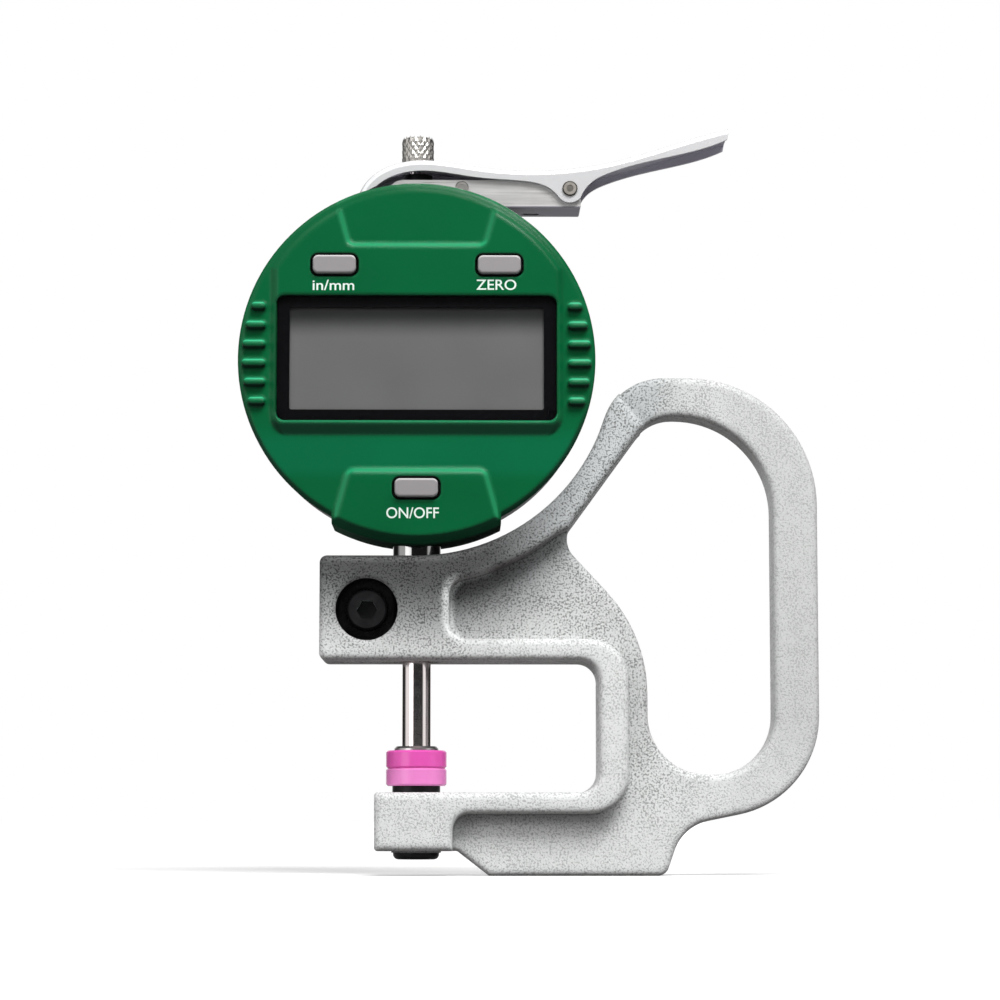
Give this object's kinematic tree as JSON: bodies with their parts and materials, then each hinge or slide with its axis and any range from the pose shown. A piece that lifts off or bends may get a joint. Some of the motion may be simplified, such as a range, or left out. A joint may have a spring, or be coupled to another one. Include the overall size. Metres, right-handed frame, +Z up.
{
  "type": "digital thickness gauge",
  "caption": "Hand-held digital thickness gauge: cast grey frame with loop handle, round green display head, thumb lever and two pink measuring discs.",
  "frame": {"origin": "middle of the foot's flat face, in the frame's middle plane", "axes": "+X from the measuring faces to the handle, +Y from the display to the back, +Z up along the spindle"},
  "size_m": [0.0959, 0.0189, 0.1244],
  "materials": {
    "frame": "hammered light grey paint",
    "clamp_screw": "black oxide",
    "anvil_post": "turned",
    "anvil_disc": "smooth",
    "anvil_screw": "black oxide",
    "stem": "polished",
    "lower_bush": "turned",
    "upper_bush": "dark oxide",
    "bush_nut": "turned",
    "rear_housing": "satin grey",
    "front_bezel": "satin green",
    "display_window": "clear",
    "window_mask": "dark",
    "lcd_panel": "grey display",
    "lcd_holder": "white moulding",
    "contact_strips": "elastomer",
    "circuit_board": "solder resist",
    "board_screws": "zinc",
    "button_domes": "pressed",
    "scale_reader": "black",
    "guide_rod": "ground",
    "back_cover": "black",
    "cover_screws": "zinc",
    "battery_lid": "black",
    "coin_cell": "plated",
    "battery_clip": "pressed",
    "lever_bracket": "brushed",
    "tie_screw": "turned",
    "contact_disc": "smooth",
    "contact_seat": "turned",
    "spindle": "ground",
    "lifting_cap": "knurled",
    "scale_slider": "machined",
    "scale_strip": "etched",
    "return_spring": "drawn wire",
    "lever": "polished",
    "pivot_pin": "turned",
    "in_mm_button": "grey",
    "zero_button": "grey",
    "on_off_button": "grey"
  },
  "bodies": {
    "body": {"frame": "frame", "clamp_screw": "clamp_screw", "anvil_post": "anvil_post", "anvil_disc": "anvil_disc", "anvil_screw": "anvil_screw", "stem": "stem", "lower_bush": "lower_bush", "upper_bush": "upper_bush", "bush_nut": "bush_nut", "rear_housing": "rear_housing", "front_bezel": "front_bezel", "display_window": "display_window", "window_mask": "window_mask", "lcd_panel": "lcd_panel", "lcd_holder": "lcd_holder", "contact_strips": "contact_strips", "circuit_board": "circuit_board", "board_screws": "board_screws", "button_domes": "button_domes", "scale_reader": "scale_reader", "guide_rod": "guide_rod", "back_cover": "back_cover", "cover_screws": "cover_screws", "battery_lid": "battery_lid", "coin_cell": "coin_cell", "battery_clip": "battery_clip", "lever_bracket": "lever_bracket", "tie_screw": "tie_screw"},
    "plunger": {"spindle": "spindle", "contact_seat": "contact_seat", "contact_disc": "contact_disc", "lifting_cap": "lifting_cap", "scale_slider": "scale_slider", "scale_strip": "scale_strip", "return_spring": "return_spring"},
    "lever_arm": {"lever": "lever", "pivot_pin": "pivot_pin"},
    "in_mm_key": {"in_mm_button": "in_mm_button"},
    "zero_key": {"zero_button": "zero_button"},
    "on_off_key": {"on_off_button": "on_off_button"}
  },
  "joints": [
    {"name": "spindle_slide", "type": "slide", "parent": "body", "child": "plunger", "axis": [0, 0, 1], "range_m": [0, 0.01], "stiffness_N_per_m": 60, "springref_m": -0.012, "deforming": ["return_spring"]},
    {"name": "lever_pivot", "type": "hinge", "parent": "body", "child": "lever_arm", "pos_m": [-0.00005, 0, 0.114], "axis": [0, 1, 0], "range_deg": [0, 21.6]},
    {"name": "in_mm_press", "type": "slide", "parent": "body", "child": "in_mm_key", "axis": [0, 1, 0], "range_m": [0, 0.0004], "stiffness_N_per_m": 200},
    {"name": "zero_press", "type": "slide", "parent": "body", "child": "zero_key", "axis": [0, 1, 0], "range_m": [0, 0.0004], "stiffness_N_per_m": 200},
    {"name": "on_off_press", "type": "slide", "parent": "body", "child": "on_off_key", "axis": [0, 1, 0], "range_m": [0, 0.0004], "stiffness_N_per_m": 200}
  ],
  "couplings": [
    {"joint": "lever_pivot", "follows": "spindle_slide", "rad_per_m": 37.6}
  ]
}
